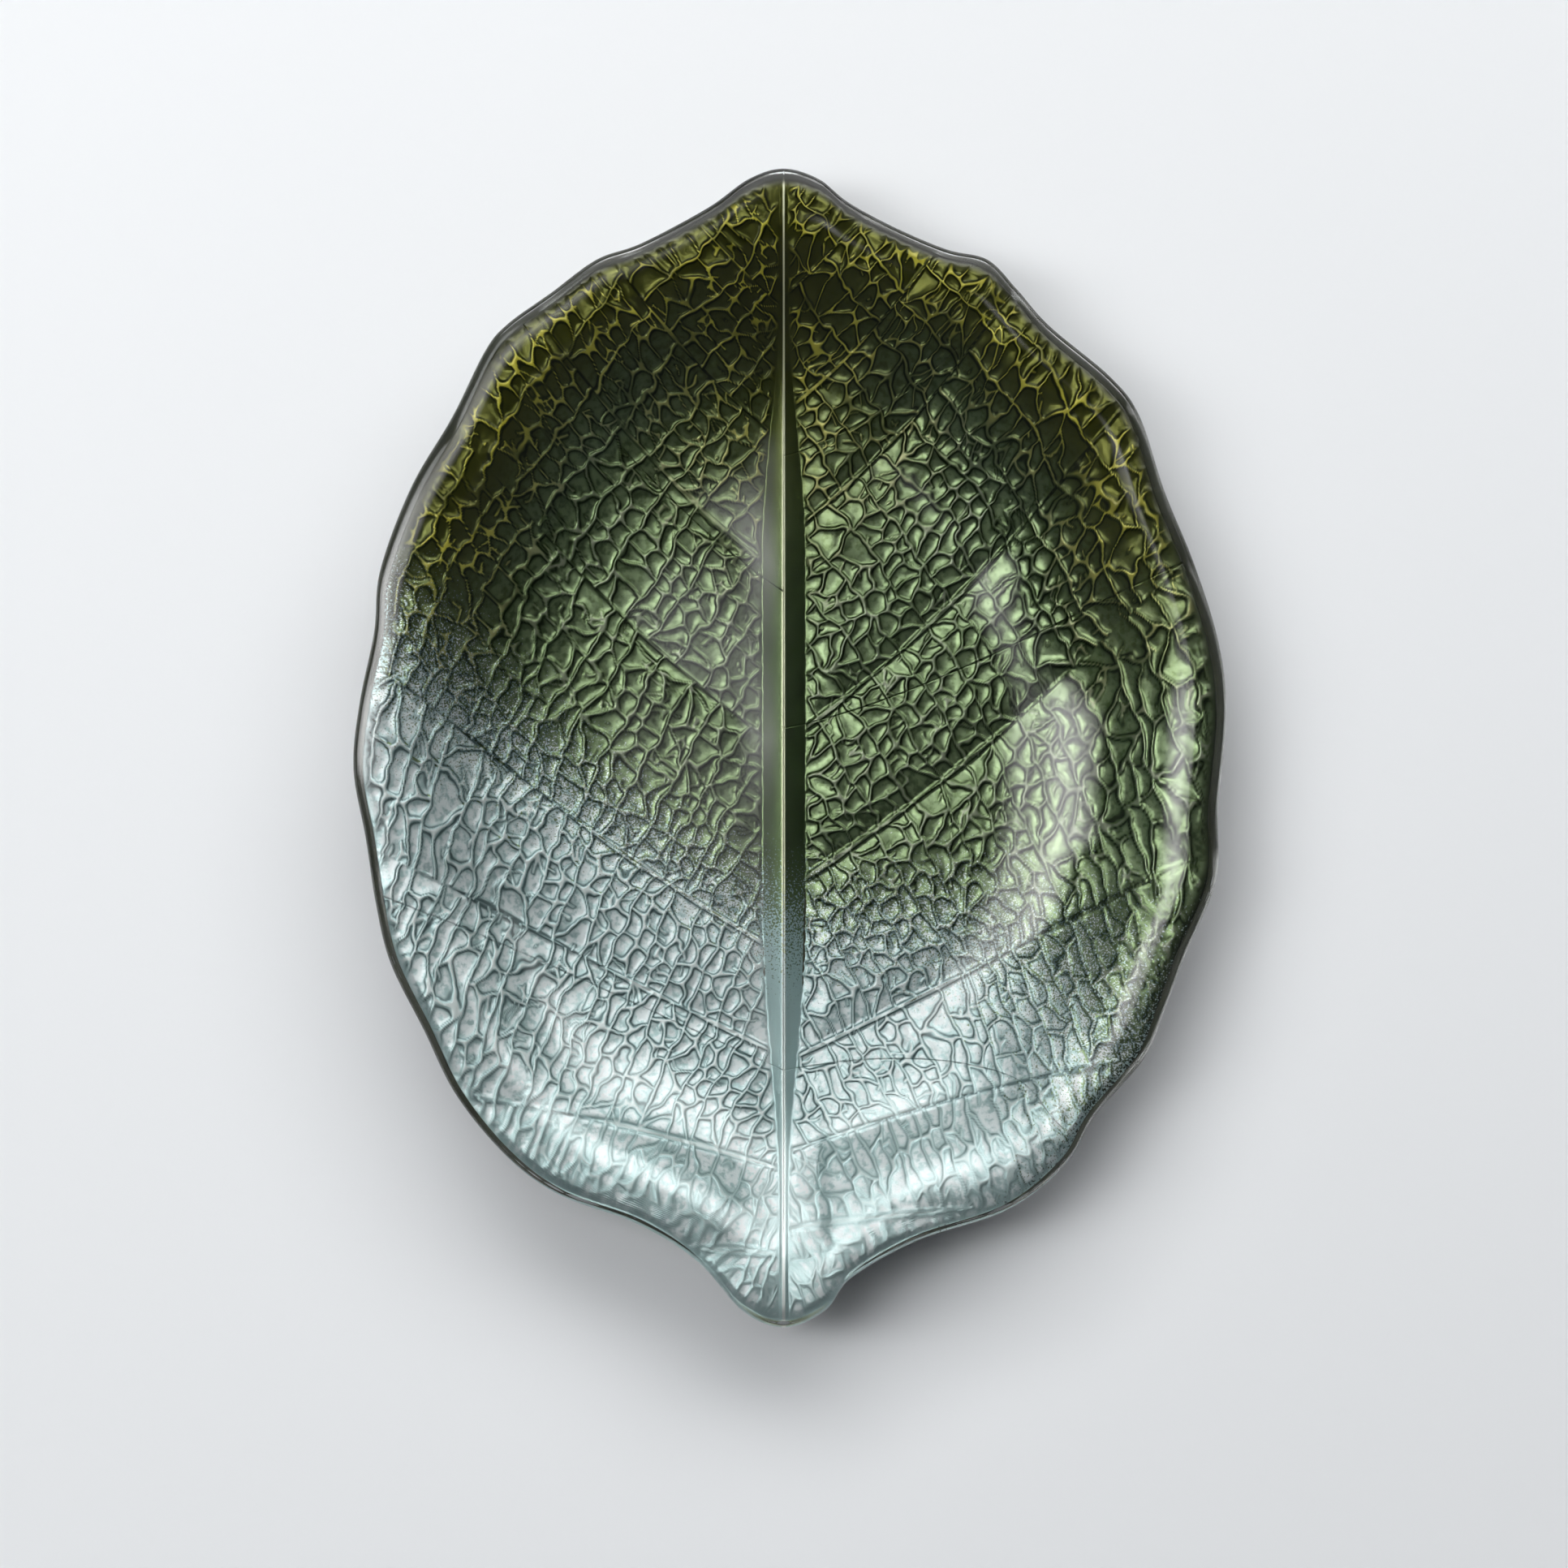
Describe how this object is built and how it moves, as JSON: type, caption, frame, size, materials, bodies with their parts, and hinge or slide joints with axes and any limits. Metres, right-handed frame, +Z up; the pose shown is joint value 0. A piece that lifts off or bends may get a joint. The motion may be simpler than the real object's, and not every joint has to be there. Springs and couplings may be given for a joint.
{
  "type": "leaf shaped plate",
  "caption": "Leaf shaped serving plate of pressed clear glass, smooth on top, with a leaf's veins pressed into its underside and silver and green lacquer sealed on the back.",
  "frame": {"origin": "on the table under the middle of the plate's outline", "axes": "+Y from the stem end toward the leaf tip, +X to the right with the tip up as seen from above, +Z up out of the dish"},
  "size_m": [0.211, 0.28, 0.026],
  "materials": {
    "clear_glass": "fire-polished gloss",
    "silver_lacquer": "metallic lacquer",
    "green_lacquer": "metallic lacquer",
    "backing_lacquer": "satin lacquer"
  },
  "bodies": {
    "root": {"glass_plate": "clear_glass", "silver_coat": "silver_lacquer", "green_coat": "green_lacquer", "backing_coat": "backing_lacquer"}
  },
  "joints": []
}
